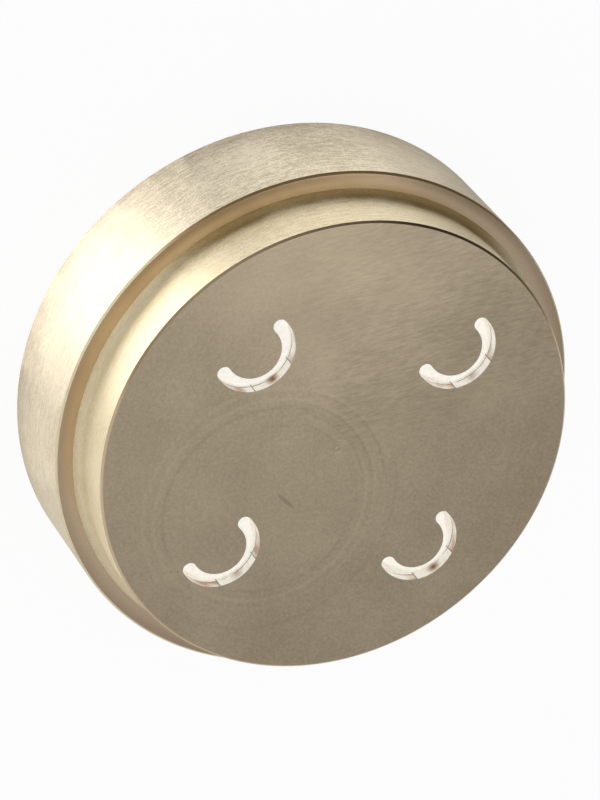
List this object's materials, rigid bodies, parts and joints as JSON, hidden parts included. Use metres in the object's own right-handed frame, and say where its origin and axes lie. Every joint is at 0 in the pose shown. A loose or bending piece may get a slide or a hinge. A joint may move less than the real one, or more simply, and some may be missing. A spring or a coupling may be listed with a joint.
{
  "type": "pasta extrusion die",
  "caption": "Round bronze disc with a flange and a stepped spigot; C-shaped slots in its front face, fed by round holes from behind, shape dough in a pasta extruder.",
  "frame": {"origin": "centre of the flat back face, on the die's axis", "axes": "+Z along the axis towards the front face; X and Y along the sides of the square that the slots lie on, and the back of every C points halfway between +X and -Y"},
  "size_m": [0.052, 0.052, 0.0172],
  "materials": {
    "bronze": "fine turned, satin, dull on the front face"
  },
  "bodies": {
    "root": {"die_body": "bronze"}
  },
  "joints": []
}
